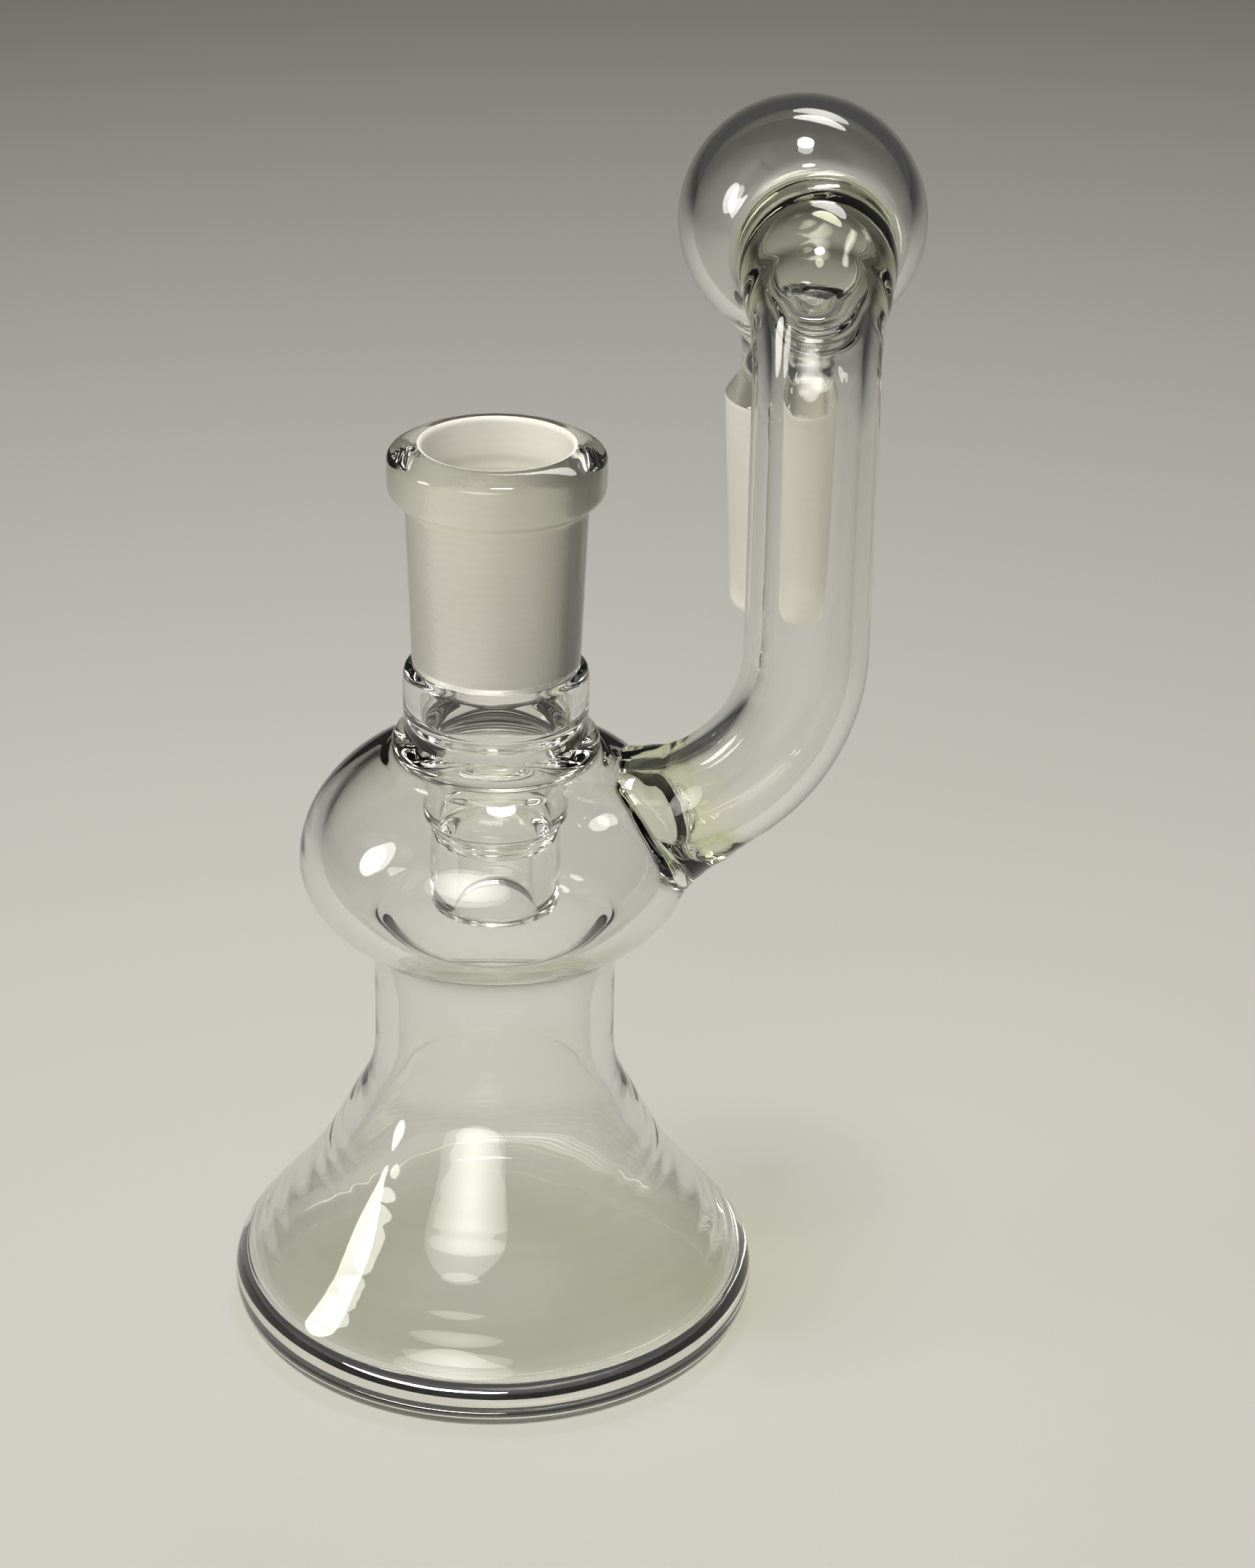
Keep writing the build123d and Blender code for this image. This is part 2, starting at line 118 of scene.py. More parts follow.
def even_steps(points, step=STEP):
    """The same wall in even short steps, on a cubic curve through the CAD's points."""
    at = [Vector(p) for p in points]
    slopes = []
    for i, here in enumerate(at):
        back, on = at[max(i - 1, 0)], at[min(i + 1, len(at) - 1)]
        before, after = (here - back).length, (on - here).length
        if before == 0 or after == 0:
            slopes.append((on - back).normalized())
        else:
            slope = (here - back) / before * after + (on - here) / after * before
            slopes.append((slope / (before + after)).normalized())
    drawn = []
    for a, b, slope_a, slope_b in zip(at, at[1:], slopes, slopes[1:]):
        length = (b - a).length
        count = max(1, round(length / step))
        for k in range(count):
            t = k / count
            drawn.append(tuple(
                a * (2 * t**3 - 3 * t**2 + 1) + slope_a * length * (t**3 - 2 * t**2 + t)
                + b * (3 * t**2 - 2 * t**3) + slope_b * length * (t**3 - t**2)))
    return drawn + [tuple(at[-1])]


print("the flask's outside goes from", len(walls("base_flask")[0]), "points to",
      len(even_steps(walls("base_flask")[0])))

# %% [markdown]
# ## One skin, then named parts
# Real fused glass has no surface where two sections meet. If each CAD section were a closed glass
# body, light would bend at every seam and draw rings that aren't there. So the whole skin is
# made as one, and every face remembers which section it belongs to and which finish it has. The
# skin is parted again at the end.

# %% Remember which section a face belongs to
regions = []


def region(name, finish="clear"):
    """The number of a section's clear, thick, welded or ground faces."""
    if (name, finish) not in regions:
        regions.append((name, finish))
    return regions.index((name, finish))


def skin(name, points, faces, marks):
    """A mesh object whose faces carry their region's number."""
    mesh = bpy.data.meshes.new(name)
    mesh.from_pydata(points, [], faces)
    mesh.polygons.foreach_set("material_index", marks)
    mesh.update()
    made = bpy.data.objects.new(name, mesh)
    bpy.context.scene.collection.objects.link(made)
    return made


print("the foot's clear faces have the number", region("foot_disc"))

# %% [markdown]
# A lathe helper turns an outline round an upright axis. Hand-worked glass is never quite even, so
# each ring may be drawn in a little by a slow noise. It only ever draws in, and the body then
# stays inside the CAD's box.

# %% Turn an outline
AROUND = 144
UNEVEN = 0.035 * MM
UNEVEN_SCALE = 90


def turned(name, outline, axis=(0.0, 0.0), seed=0.0, around=AROUND, uneven=UNEVEN):
    """Turn (radius, height, region) points round an upright axis. A radius of 0 closes the end."""
    points, faces, marks, rings = [], [], [], []
    for radius, height, _ in outline:
        ring = []
        for k in range(1 if radius == 0 else around):
            a = 2 * pi * k / around
            at = Vector((cos(a) * radius, sin(a) * radius, height)) * UNEVEN_SCALE
            draw = uneven * (noise.noise(at + Vector((seed, seed, seed))) + 1) / 2
            r = max(radius - draw, 0)
            points.append((axis[0] + r * cos(a), axis[1] + r * sin(a), height))
            ring.append(len(points) - 1)
        rings.append(ring)
    for low, high, (_, _, mark) in zip(rings, rings[1:], outline):
        for k in range(around):
            n = (k + 1) % around
            if len(low) == 1:
                faces.append((low[0], high[n], high[k]))
            elif len(high) == 1:
                faces.append((low[k], low[n], high[0]))
            else:
                faces.append((low[k], low[n], high[n], high[k]))
            marks.append(mark)
    return skin(name, points, faces, marks)


def marked(points, mark):
    """The points of an outline, each with its region's number."""
    return [(r, z, mark) for r, z in points]


print("a turned ring has", AROUND, "points")

# %% [markdown]
# ## The turned body
# One outline runs all the way: out under the foot, up the outside to the socket's rim, over the
# mouth, down the ground bore and the drop tube, round its end, up its outside to the neck, and
# back down inside the bulb and the flask to the middle of the floor. The arm's hole interrupts the
# bulb's CAD mesh just where the outline would be read, so the bulb is drawn from its sizes.

# %% The bulb's two half ellipses
bulb_low, bulb_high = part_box("bulb_shell")
bulb_radius = bulb_high.y
bulb_middle = 51.0 * MM
bulb_rise, bulb_drop = 14.2 * MM, 10.9 * MM
bulb_thickness = 1.65 * MM
BULB_STEPS = 56


def bulb_side(inset):
    """The bulb's wall from its lower seam to its upper one, drawn in by inset."""
    side = []
    for k in range(BULB_STEPS + 1):
        z = bulb_low.z + (bulb_high.z - bulb_low.z) * (1 - cos(pi * k / BULB_STEPS)) / 2
        half = (bulb_rise if z > bulb_middle else bulb_drop) - inset
        side.append(((bulb_radius - inset) * sqrt(1 - ((z - bulb_middle) / half) ** 2), z))
    return side


print("the bulb is", round(2 * bulb_radius / MM, 1), "mm across")

# %% The outline from the foot up the outside to the socket's rim
outline = [(0.0, 0.0, region("foot_disc"))]


def follow(points, name, finish="clear"):
    """Add a wall to the outline. The last point is left to the wall that follows."""
    outline.extend(marked(even_steps(points)[:-1], region(name, finish)))


follow(foot_outside, "foot_disc", "thick")
for section in ("base_flask", "waist_tube", "waist_seal"):
    follow(walls(section)[0], section)
outline.extend(marked(bulb_side(0)[:-1], region("bulb_shell")))
bead_outside, bead_bore = walls("neck_bead")
BEAD_INSIDE = 9.0 * MM
follow([p for p in bead_outside if p[0] > BEAD_INSIDE], "neck_bead", "thick")
follow(walls("neck_collar")[0], "neck_collar")
follow(walls("ground_socket")[0], "ground_socket")
rim_outside, rim_bore = walls("socket_rim")
follow(rim_outside, "socket_rim", "thick")
outline.append((*rim_outside[-1], region("socket_rim")))
print("the outside has", len(outline), "points")

# %% The outline down the bore and the drop tube, and up to the neck again
follow(rim_bore[::-1], "socket_rim", "ground")
follow(walls("ground_socket")[1][::-1], "ground_socket", "ground")
follow(walls("neck_collar")[1][::-1], "neck_collar")
follow([bead_bore[-1], bead_bore[0]], "neck_bead")
follow(walls("drop_tube_upper")[1][::-1], "drop_tube_upper")
follow(walls("drop_tube_tip")[1][::-1], "drop_tube_tip")
follow(walls("drop_tube_tip")[0], "drop_tube_tip")
follow(walls("drop_tube_upper")[0], "drop_tube_upper")
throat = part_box("drop_tube_upper")[1].x
UNDER_BEAD = 1.0 * MM
crotch = [p for p in bead_outside + bead_bore if p[0] <= BEAD_INSIDE or p in bead_bore]
crotch = sorted(p for p in crotch if throat <= p[0] and p[1] < bulb_high.z + UNDER_BEAD)
follow(crotch, "neck_bead")
print("with the bore and the drop tube it has", len(outline))

# %% [markdown]
# A flask spun out of a thick tube keeps faint rings on its inner wall. They are drawn as a shallow
# wave with a drifting pitch, which fades out upwards. Every ring bends the light a little, so the
# wave is only a few hundredths of a millimetre high.

# %% The outline down the inside of the bulb and the flask
RIPPLE, RIPPLE_PITCH = 0.026 * MM, 2.3 * MM
RIPPLE_TOP, RIPPLE_FADE = 25 * MM, 10 * MM
DRIFT, DRIFT_SPAN = 1.3, 3.7
FLOOR_STEPS = 24
foot_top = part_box("foot_disc")[1].z
outline.extend(marked(bulb_side(bulb_thickness)[:0:-1], region("bulb_shell")))
for section in ("waist_seal", "waist_tube"):
    follow(walls(section)[1][::-1], section)
flask_inside = even_steps(walls("base_flask")[1][::-1])
for radius, height in flask_inside:
    fade = min(max((RIPPLE_TOP - height) / RIPPLE_FADE, 0), 1)
    phase = 2 * pi * height / RIPPLE_PITCH
    wave = RIPPLE * fade * sin(phase + DRIFT * sin(phase / DRIFT_SPAN))
    outline.append((radius - wave, height, region("base_flask")))
outline.pop()
floor_radius = flask_inside[-1][0]
for k in range(FLOOR_STEPS + 1):
    outline.append((floor_radius * (1 - k / FLOOR_STEPS), foot_top, region("foot_disc")))
print("the whole outline has", len(outline), "points")

# %% [markdown]
# The CAD's inner walls meet at small corners above and below the waist. A flame rounds these, so
# the points there are pulled towards the middle of their neighbours many times.

# %% Ease the inner walls, and turn the body
EASING_PASSES = 60


def softened(points, sections, passes):
    """The outline with the walls of some sections eased, as a flame leaves them."""
    marks = {regions.index(key) for key in regions if key[0] in sections}
    for _ in range(passes):
        eased = list(points)
        for i in range(1, len(points) - 1):
            if all(p[2] in marks for p in points[i - 1:i + 2]):
                r = (points[i - 1][0] + 2 * points[i][0] + points[i + 1][0]) / 4
                z = (points[i - 1][1] + 2 * points[i][1] + points[i + 1][1]) / 4
                eased[i] = (r, z, points[i][2])
        points = eased
    return points


heights = [p[1] for p in outline]
mouth = heights.index(max(heights))
eased_sections = ("bulb_shell", "waist_seal", "waist_tube")
outline = outline[:mouth] + softened(outline[mouth:], eased_sections, EASING_PASSES)
body = turned("body", outline)
print("the body's mesh has", len(body.data.polygons), "faces")

# %% [markdown]
# ## Tubes
# The side arm is tube bent in a flame. A sweep helper lays rings across its centreline. Each ring
# takes its sideways direction from the one before, so that the tube doesn't twist where the two
# bends lie in different planes.

# %% Sweep rings along a line
TUBE_AROUND = 96


def swept(name, stations, seed=0.0):
    """Rings of (centre, direction, radius, region), closed at both ends."""
    points, faces, marks, rings = [], [], [], []
    side = stations[0][1].orthogonal().normalized()
    for centre, direction, radius, _ in stations:
        side = (side - direction * side.dot(direction)).normalized()
        up = direction.cross(side)
        ring = []
        for k in range(TUBE_AROUND):
            a = 2 * pi * k / TUBE_AROUND
            out = side * cos(a) + up * sin(a)
            at = (centre + out * radius) * UNEVEN_SCALE + Vector((seed, seed, seed))
            points.append(centre + out * (radius - UNEVEN * (noise.noise(at) + 1) / 2))
            ring.append(len(points) - 1)
        rings.append(ring)
    for near, far, station in zip(rings, rings[1:], stations):
        for k in range(TUBE_AROUND):
            n = (k + 1) % TUBE_AROUND
            faces.append((near[k], near[n], far[n], far[k]))
            marks.append(station[3])
    for end in (0, -1):
        points.append(stations[end][0])
        for k in range(TUBE_AROUND):
            pair = (rings[end][k], rings[end][(k + 1) % TUBE_AROUND])
            faces.append((*(pair[::-1] if end == 0 else pair), len(points) - 1))
            marks.append(stations[end][3])
    return skin(name, points, faces, marks)


print("a ring of the arm has", TUBE_AROUND, "points")

# %% [markdown]
# The arm's places come from the CAD's boxes: the riser's box gives its axis and its two ends. The
# bends have the radii that the CAD model has.

# %% The arm's centreline
riser_low, riser_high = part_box("arm_riser")
riser_axis = Vector(((riser_low.x + riser_high.x) / 2, (riser_low.y + riser_high.y) / 2, 0))
arm_radius = (riser_high.x - riser_low.x) / 2
ARM_WALL = 1.75 * MM
arm_bore = arm_radius - ARM_WALL
heading = riser_axis.normalized()
CLIMB = 20
BEND = 18.7 * MM
SEAL_SHARE = 0.2
CROOK_BEND = 12 * MM
CROOK_HEADING = radians(3)
crook_way = Vector((sin(CROOK_HEADING), cos(CROOK_HEADING), 0))
UP = Vector((0, 0, 1))


def lower_bend(share):
    """Centre and direction in the lower bend: share 0 is at the bulb, 1 at the riser."""
    angle = radians(CLIMB + share * (90 - CLIMB))
    across = riser_axis.length - BEND * (1 - sin(angle))
    centre = heading * across + UP * (riser_low.z - BEND * cos(angle))
    return centre, heading * cos(angle) + UP * sin(angle)


def crook(share):
    """Centre and direction in the crook: share 0 is at the riser's top, 1 lies level."""
    angle = radians(90 * share)
    centre = riser_axis + crook_way * CROOK_BEND * (1 - cos(angle))
    centre += UP * (riser_high.z + CROOK_BEND * sin(angle))
    return centre, crook_way * sin(angle) + UP * cos(angle)


print("the arm leaves the bulb at", [round(x / MM, 1) for x in lower_bend(0)[0]], "mm")

# %% [markdown]
# The tube widens at both ends, where it was flared before it was sealed on. Two tables say how
# wide it is along its way, and the sizes between their rows follow a smooth curve. A row of the
# first has the share of the lower bend, the outer radius, and how far the flare sags. A row of the
# second has the share of the crook, the outer radius and the bore's radius. Sizes are in mm.

# %% Widths along the arm
def between(table, share, column):
    """A column of the table at a share of the way, eased from one row to the next."""
    for low, high in zip(table, table[1:]):
        if share <= high[0]:
            t = min(max((share - low[0]) / (high[0] - low[0]), 0), 1)
            t = t * t * (3 - 2 * t)
            return low[column] * (1 - t) + high[column] * t
    return table[-1][column]


tube, hole = arm_radius / MM, arm_bore / MM
SEAL_FROM, BORE_FROM = -0.22, -0.3
seal_sizes = ((SEAL_FROM, 8.0, 1.2), (-0.06, 7.3, 0.7), (0.08, 6.45, 0.25), (SEAL_SHARE, tube, 0))
crook_sizes = ((0, tube, hole), (0.3, tube, hole), (0.5, 6.35, 4.5),
               (0.72, 7.15, 5.15), (1, 7.75, 5.7))


def seal_station(share):
    """A ring of the flare at the bulb, which sags a little under its own soft weight."""
    centre, direction = lower_bend(share)
    down = direction.cross(UP).cross(direction).normalized() * -1
    centre = centre + down * between(seal_sizes, share, 2) * MM
    return centre, direction, between(seal_sizes, share, 1) * MM, region("arm_seal", "weld")


print("the flare at the bulb is", 2 * seal_sizes[0][1], "mm across and the crook's end",
      2 * crook_sizes[-1][1])

# %% The arm's outside and its bore
SEAL_STEPS, BEND_STEPS, RISER_STEPS, CROOK_STEPS, REACH_STEPS = 14, 40, 44, 40, 8
CROOK_WELD = 0.55
OUTER_REACH, BORE_REACH = 7.0 * MM, 9.5 * MM
outer, bore = [], []
for k in range(SEAL_STEPS):
    outer.append(seal_station(SEAL_FROM + (SEAL_SHARE - SEAL_FROM) * k / SEAL_STEPS))
    share = BORE_FROM + (SEAL_SHARE - BORE_FROM) * k / SEAL_STEPS
    bore.append((*lower_bend(share), arm_bore, region("arm_seal")))
for k in range(BEND_STEPS):
    share = SEAL_SHARE + (1 - SEAL_SHARE) * k / BEND_STEPS
    outer.append((*lower_bend(share), arm_radius, region("arm_elbow")))
    bore.append((*lower_bend(share), arm_bore, region("arm_elbow")))
for k in range(RISER_STEPS):
    centre = riser_axis + UP * (riser_low.z + (riser_high.z - riser_low.z) * k / RISER_STEPS)
    outer.append((centre, UP, arm_radius, region("arm_riser")))
    bore.append((centre, UP, arm_bore, region("arm_riser")))
for k in range(CROOK_STEPS + 1):
    share = k / CROOK_STEPS
    finish = "weld" if share >= CROOK_WELD else "clear"
    outer.append((*crook(share), between(crook_sizes, share, 1) * MM, region("arm_crook", finish)))
    bore.append((*crook(share), between(crook_sizes, share, 2) * MM, region("arm_crook")))
for stations, reach, finish in ((outer, OUTER_REACH, "weld"), (bore, BORE_REACH, "clear")):
    centre, direction, radius, _ = stations.pop()
    seal = region("crook_seal", finish)
    for k in range(REACH_STEPS + 1):
        stations.append((centre + direction * reach * k / REACH_STEPS, direction, radius, seal))
arm_outside = swept("arm outside", outer, seed=3.0)
arm_inside = swept("arm bore", bore, seed=7.0)
print("the arm has", len(outer), "rings outside and", len(bore), "inside")

# %% [markdown]
# ## Splash bulb and cone
# The splash bulb is a blown ball. The hanger and the ground cone under it are turned about their
# own axis, and their bore runs up into the ball.

# %% The splash bulb's two walls
cone_low, cone_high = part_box("ground_cone")
hang = ((cone_low.x + cone_high.x) / 2, (cone_low.y + cone_high.y) / 2)
ball_low, ball_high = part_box("splash_bulb")
ball_radius = (ball_high.x - ball_low.x) / 2
ball_height = ball_high.z - ball_radius
ball_thickness = 1.5 * MM
BALL_STEPS, BALL_AROUND = 72, 112


def ball(name, radius, mark, inward=False, seed=0.0, uneven=UNEVEN):
    """A sphere turned from a half circle. inward makes it face its own middle."""
    half = []
    for k in range(BALL_STEPS + 1):
        a = pi * k / BALL_STEPS
        half.append((radius * sin(a), ball_height - radius * cos(a), mark))
    half[0], half[-1] = (0.0, *half[0][1:]), (0.0, *half[-1][1:])
    return turned(name, half[::-1] if inward else half, hang, seed, BALL_AROUND, uneven)


ball_mark = region("splash_bulb")
ball_outside = ball("ball outside", ball_radius, ball_mark, seed=11.0)
ball_inside = ball("ball inside", ball_radius - ball_thickness, ball_mark, inward=True, seed=13.0)
print("the splash bulb is", round(2 * ball_radius / MM, 1), "mm across")

# %% The hanger and the ground cone
LIP = 0.7 * MM
HANGER_TOP, HOLE_TOP, HOLE_BELOW = ball_height - 3 * MM, ball_height - 6 * MM, 2 * MM
cone_outside, cone_bore = walls("ground_cone", hang)
hanger_outside, hanger_bore = walls("cone_hanger", hang)
ground_top = max(p[1] for p in cone_outside if p[0] > cone_outside[-1][0] + LIP)
ground = [p for p in cone_outside if p[1] <= ground_top + ON_PLANE]
bevel = [p for p in cone_outside if p[1] >= ground_top - ON_PLANE]
frosted, cone_clear = region("ground_cone", "ground"), region("ground_cone")
hanger_mark = region("cone_hanger")
cone_outline = [(0.0, cone_low.z, frosted)]
cone_outline += marked(even_steps(ground)[:-1], frosted)
cone_outline += marked(even_steps(bevel)[:-1], cone_clear)
cone_outline += marked(even_steps(hanger_outside), hanger_mark)
cone_outline += [(hanger_outside[-1][0], HANGER_TOP, hanger_mark), (0.0, HANGER_TOP, hanger_mark)]
cone_skin = turned("cone outside", cone_outline, hang, 17.0, BALL_AROUND)
hole_foot = cone_low.z - HOLE_BELOW
bore_outline = [(0.0, hole_foot, cone_clear), (cone_bore[0][0], hole_foot, cone_clear)]
bore_outline += marked(even_steps(cone_bore)[:-1], cone_clear)
bore_outline += marked(even_steps(hanger_bore), hanger_mark)
bore_outline += [(hanger_bore[-1][0], HOLE_TOP, hanger_mark), (0.0, HOLE_TOP, hanger_mark)]
cone_hole = turned("cone bore", bore_outline, hang, 19.0, BALL_AROUND)
print("the cone's ground part is", round((ground_top - cone_low.z) / MM, 1), "mm long")

# %% [markdown]
# ## Fusing
# Booleans do what the flame did. The limbs are first trimmed half way through the walls they
# meet, so that nothing sticks out inside, and then they are joined to the walls. The weld beads
# follow, and the bores are cut last.

# %% Helpers for joining and cutting
region_marks = []


def together(name, parts):
    """Several separate skins as one object. A boolean keeps a face's number through slots."""
    while len(region_marks) < len(regions):
        region_marks.append(bpy.data.materials.new("region"))
    bpy.ops.object.select_all(action="DESELECT")
    for part in parts:
        if not part.data.materials:
            for mark in region_marks:
                part.data.materials.append(mark)
        part.select_set(True)
    bpy.context.view_layer.objects.active = parts[0]
    if len(parts) > 1:
        bpy.ops.object.join()
    parts[0].name = name
    return parts[0]


def cut(target, tool, operation):
    """Apply one boolean and remove the tool."""
    step = target.modifiers.new(operation.lower(), "BOOLEAN")
    step.object, step.operation, step.solver = tool, operation, "MANIFOLD"
    graph = bpy.context.evaluated_depsgraph_get()
    mesh = bpy.data.meshes.new_from_object(target.evaluated_get(graph))
    target.modifiers.clear()
    target.data = mesh
    bpy.data.objects.remove(tool)
    print(operation.lower(), "leaves", len(mesh.polygons), "faces")
    return target


def half_wall_bulb():
    """A solid that fills the bulb to the middle of its wall."""
    half_wall = bulb_thickness / 2
    radius, rise, drop = bulb_radius - half_wall, bulb_rise - half_wall, bulb_drop - half_wall
    half = []
    for k in range(BALL_STEPS + 1):
        a = pi * k / BALL_STEPS
        z = -cos(a) * (rise if a > pi / 2 else drop)
        half.append((radius * sin(a) if 0 < k < BALL_STEPS else 0.0, bulb_middle + z, 0))
    return turned("half wall bulb", half, uneven=0.0)


half_wall_ball = ball("half wall ball", ball_radius - ball_thickness / 2, 0, uneven=0.0)
trimmer = together("trimmer", [half_wall_bulb(), half_wall_ball])
print("faces of", len(regions), "kinds are joined")

# %% Trim the limbs and join them to the walls
limbs = cut(together("limbs", [arm_outside, cone_skin]), trimmer, "DIFFERENCE")
shells = together("shells", [body, ball_outside, ball_inside])
glass = cut(shells, limbs, "UNION")

# %% [markdown]
# ## Weld beads
# Where two tubes were melted together, the glass piles up in a soft, uneven bead. The line where
# the two skins cross is already there in the mesh, so a thin ring is laid along it, thicker where
# the glassblower dabbed on more glass, and joined to the rest.

# %% Find the line where two sections cross
BEAD_POINTS = 72
NEAREST = 4


def crossing(one, other, axis):
    """Points round the line where two sections' skins meet, in order about the axis."""
    wanted, at = (one, other), {}
    for face in glass.data.polygons:
        section = regions[face.material_index][0]
        if section in wanted:
            for v in face.vertices:
                at.setdefault(v, set()).add(section)
    line = [glass.data.vertices[v].co.copy() for v, found in at.items() if len(found) == 2]
    middle = sum(line, Vector()) / len(line)
    side = axis.orthogonal().normalized()
    up = axis.cross(side).normalized()
    ring = []
    for k in range(BEAD_POINTS):
        a = 2 * pi * k / BEAD_POINTS
        look = side * cos(a) + up * sin(a)
        best = sorted(line, key=lambda p: -(p - middle).normalized().dot(look))[:NEAREST]
        ring.append(sum(best, Vector()) / len(best))
    return ring, middle


arm_line, arm_line_middle = crossing("bulb_shell", "arm_seal", lower_bend(0)[1])
crook_line, crook_line_middle = crossing("splash_bulb", "crook_seal", crook_way)
hang_line, hang_line_middle = crossing("splash_bulb", "cone_hanger", UP)
arm_weld_reach = max((p - arm_line_middle).length for p in arm_line)
print("the arm's weld is", round(2 * arm_weld_reach / MM, 1), "mm across")

# %% Lay a bead along it
BEAD_AROUND = 20
BEAD_UNEVEN, BEAD_UNEVEN_SCALE = 0.22, 900
LUMP_FALL = 2.718


def bead(name, ring, middle, thickness, lumps, mark, seed):
    """A closed ring of glass. lumps are (direction, extra thickness, width in radians)."""
    points, faces = [], []
    count = len(ring)
    for i, centre in enumerate(ring):
        along = (ring[(i + 1) % count] - ring[i - 1]).normalized()
        out = centre - middle
        out = (out - along * out.dot(along)).normalized()
        up = along.cross(out)
        unevenness = noise.noise(centre * BEAD_UNEVEN_SCALE + Vector((seed, 0, 0)))
        radius = thickness * (1 + BEAD_UNEVEN * unevenness)
        for direction, extra, width in lumps:
            apart = (centre - middle).angle(direction)
            radius += extra * LUMP_FALL ** (-(apart / width) ** 2)
        for k in range(BEAD_AROUND):
            a = 2 * pi * k / BEAD_AROUND
            points.append(centre + (out * cos(a) + up * sin(a)) * radius)
    for i in range(count):
        for k in range(BEAD_AROUND):
            n, j = (k + 1) % BEAD_AROUND, (i + 1) % count
            faces.append((i * BEAD_AROUND + k, i * BEAD_AROUND + n,
                          j * BEAD_AROUND + n, j * BEAD_AROUND + k))
    made = skin(name, points, faces, [mark] * len(faces))
    made.data.flip_normals()
    return made


print("a bead has", BEAD_POINTS * BEAD_AROUND, "points")

# %% Beads at the arm, the crook and the hanger
ARM_BEAD, CROOK_BEAD, HANGER_BEAD = 0.55 * MM, 0.75 * MM, 0.45 * MM
arm_lumps = (
    (Vector((-0.3, -0.25, 1.0)), 0.9 * MM, 0.30),
    (Vector((0.1, -1.0, 0.75)), 0.75 * MM, 0.22),
    (Vector((0.2, -1.0, -0.35)), 0.85 * MM, 0.25),
    (Vector((0.1, 1.0, 0.3)), 0.6 * MM, 0.35),
)
arm_bead = bead("arm bead", arm_line, arm_line_middle, ARM_BEAD, arm_lumps,
                region("arm_seal", "weld"), seed=5)
crook_bead = bead("crook bead", crook_line, crook_line_middle, CROOK_BEAD, (),
                  region("crook_seal", "weld"), seed=9)
hang_bead = bead("hanger bead", hang_line, hang_line_middle, HANGER_BEAD, (),
                 region("cone_hanger", "weld"), seed=2)
glass = cut(glass, together("beads", [arm_bead, crook_bead, hang_bead]), "UNION")
glass = cut(glass, together("bores", [arm_inside, cone_hole]), "DIFFERENCE")
print("the fused skin has", len(glass.data.vertices), "points")

# %% [markdown]
# A bead laid over a crevice can trap a thin bubble behind it. It would show as a dark line in the
# glass, and a flame closes it. A bubble is a closed shell with no edge in common with the rest, so
# every shell but the largest is taken out.

# %% Close the trapped bubbles
def close_bubbles(mesh):
    """Take out every closed shell but the largest, and say how many points each one had."""
    form = bmesh.new()
    form.from_mesh(mesh)
    shells, left = [], set(form.verts)
    while left:
        reached = [left.pop()]
        shell = list(reached)
        while reached:
            point = reached.pop()
            for edge in point.link_edges:
                far = edge.other_vert(point)
                if far in left:
                    left.remove(far)
                    shell.append(far)
                    reached.append(far)
        shells.append(shell)
    shells.sort(key=len)
    sizes = [len(shell) for shell in shells]
    for bubble in shells[:-1]:
        bmesh.ops.delete(form, geom=bubble, context="VERTS")
    form.to_mesh(mesh)
    form.free()
    return sizes[:-1]


print("closed bubbles of", close_bubbles(glass.data), "points")

# %% [markdown]
# A flame leaves no sharp corner beside a weld. The points near each weld are pulled towards the
# middle of their neighbours many times, and least where they are furthest from it.

# %% Melt the corners beside the welds
MELT_REACH = 1.7 * MM
MELT_PASSES, MELT_SHARE = 40, 0.5
near_weld = KDTree(3 * BEAD_POINTS)
for i, point in enumerate(arm_line + crook_line + hang_line):
    near_weld.insert(point, i)
near_weld.balance()


def melt(mesh):
    """Ease the points near the welds, and say how many there were."""
    places = np.zeros(len(mesh.vertices) * 3)
    mesh.vertices.foreach_get("co", places)
    places = places.reshape(-1, 3)
    ends = np.zeros(len(mesh.edges) * 2, dtype=int)
    mesh.edges.foreach_get("vertices", ends)
    ends = ends.reshape(-1, 2)
    pull = np.sqrt([max(1 - near_weld.find(p)[2] / MELT_REACH, 0) for p in places])
    ends = ends[(pull[ends] > 0).any(axis=1)]
    here = np.concatenate((ends[:, 0], ends[:, 1]))
    there = np.concatenate((ends[:, 1], ends[:, 0]))
    count = np.maximum(np.bincount(here, minlength=len(places)), 1)
    for _ in range(MELT_PASSES):
        sums = [np.bincount(here, places[there, axis], len(places)) for axis in range(3)]
        middle = np.stack(sums, 1) / count[:, None]
        places += (middle - places) * (MELT_SHARE * pull)[:, None]
    mesh.vertices.foreach_set("co", places.ravel())
    mesh.update()
    return int((pull > 0).sum())


print("melted", melt(glass.data), "points")

# %% [markdown]
# ## Parting the skin
# The joined skin is smooth-shaded as a whole, with real corners kept sharp. Each section then
# takes its own faces with the shading it had in the whole, so that the seams stay invisible.

# %% Shade the whole skin
SHARP = radians(38)
whole = glass.data
whole.polygons.foreach_set("use_smooth", [True] * len(whole.polygons))
whole.set_sharp_from_angle(angle=SHARP)
corner_normals = [tuple(n.vector) for n in whole.corner_normals]
print("shaded", len(corner_normals), "face corners")

# %% [markdown]
# ## Glass
# Borosilicate glass is nearly colourless face on, but thick glass seen along its wall turns a
# pale yellow green. A Layer Weight mix gives that: the tint deepens where the surface turns away
# from the eye. Light reaches the floor through the glass by letting shadow rays pass, each wall
# taking a little of it.

# %% Helpers for the glass materials
BOROSILICATE_IOR = 1.473


